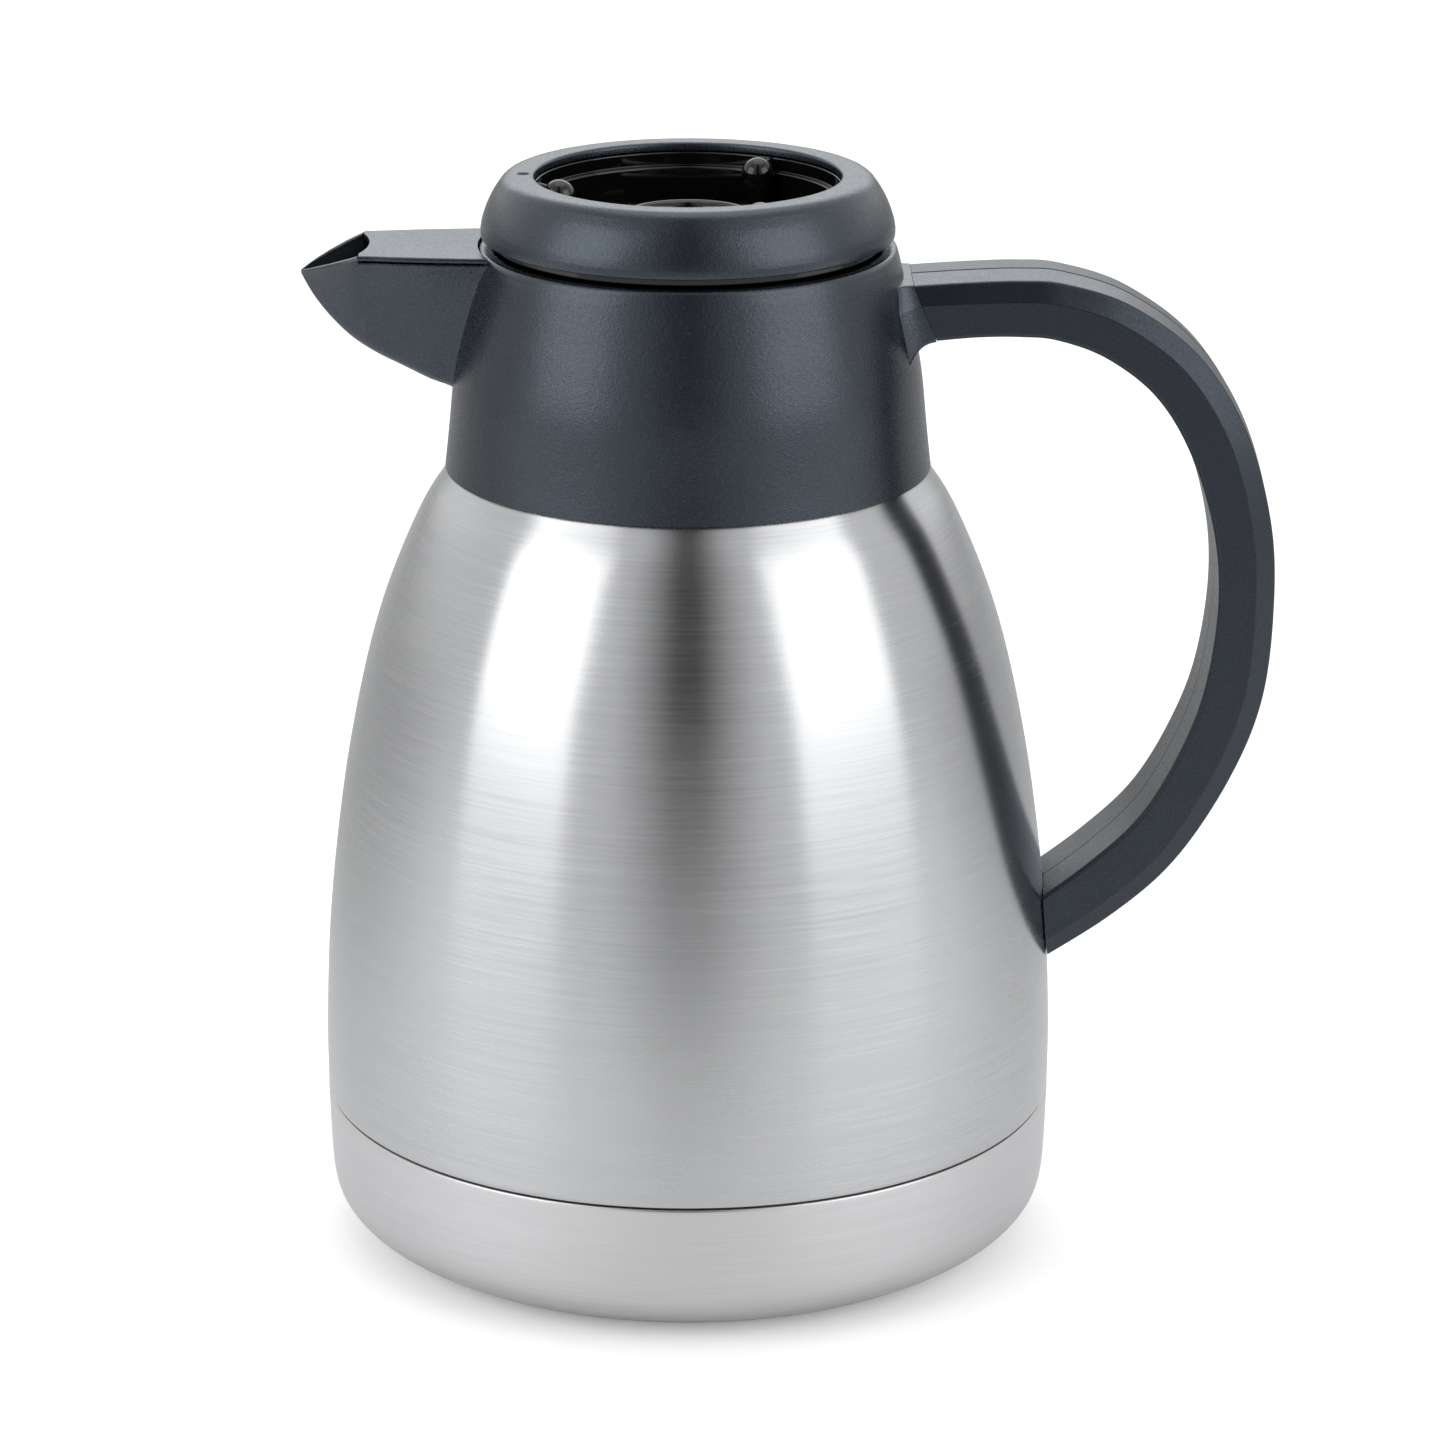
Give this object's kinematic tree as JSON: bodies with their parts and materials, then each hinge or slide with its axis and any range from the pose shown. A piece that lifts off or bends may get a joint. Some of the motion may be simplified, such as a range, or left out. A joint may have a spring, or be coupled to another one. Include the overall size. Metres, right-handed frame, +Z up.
{
  "type": "vacuum coffee pot",
  "caption": "Double-walled steel coffee pot with a matte collar and spout, a looped two-part handle and a brew-through screw lid with a float valve.",
  "frame": {"origin": "centre of the flat underside, on the body's axis, at the level that the pot stands on", "axes": "+Z up along the body's axis, +X towards the handle, -X towards the spout"},
  "size_m": [0.1987, 0.152, 0.224],
  "materials": {
    "brushed_steel": "circumferential brushed stainless steel",
    "plain_steel": "dull drawn stainless steel",
    "matte_black": "fine spark-textured matte blue-black plastic",
    "gloss_black": "polished black plastic",
    "silicone": "translucent grey silicone"
  },
  "bodies": {
    "pot": {"outer_shell": "brushed_steel", "base_cup": "plain_steel", "base_disc": "plain_steel", "inner_liner": "plain_steel", "getter_pad": "plain_steel", "collar": "matte_black", "spout_cover": "matte_black", "neck_ring": "gloss_black", "neck_gasket": "silicone", "handle_half_left": "matte_black", "handle_half_right": "matte_black", "handle_bracket": "plain_steel", "handle_screw_upper": "plain_steel", "handle_screw_middle": "plain_steel", "handle_screw_lower": "plain_steel"},
    "lid_seal": {"seal_ring": "silicone"},
    "lid_carrier": {"funnel_seal": "silicone"},
    "lid": {"lid_cap": "matte_black", "lid_bowl": "gloss_black", "stopper": "gloss_black", "stopper_base": "gloss_black", "brew_funnel": "gloss_black", "valve_cage": "gloss_black", "lid_screw_1": "plain_steel", "lid_screw_2": "plain_steel", "lid_screw_3": "plain_steel"},
    "valve": {"float_valve": "gloss_black"}
  },
  "joints": [
    {"name": "lid_lift", "type": "slide", "parent": "pot", "child": "lid_carrier", "axis": [0, 0, 1], "range_m": [0, 0.06]},
    {"name": "lid_rise", "type": "slide", "parent": "lid_carrier", "child": "lid_seal", "axis": [0, 0, 1], "range_m": [0, 0.006]},
    {"name": "lid_turn", "type": "hinge", "parent": "lid_seal", "child": "lid", "pos_m": [0, 0, 0.2], "axis": [0, 0, 1], "range_deg": [0, 270]},
    {"name": "valve_float", "type": "slide", "parent": "lid", "child": "valve", "axis": [0, 0, 1], "range_m": [0, 0.0034]}
  ],
  "couplings": [
    {"joint": "lid_rise", "follows": "lid_turn", "m_per_rad": 0.0012732}
  ]
}
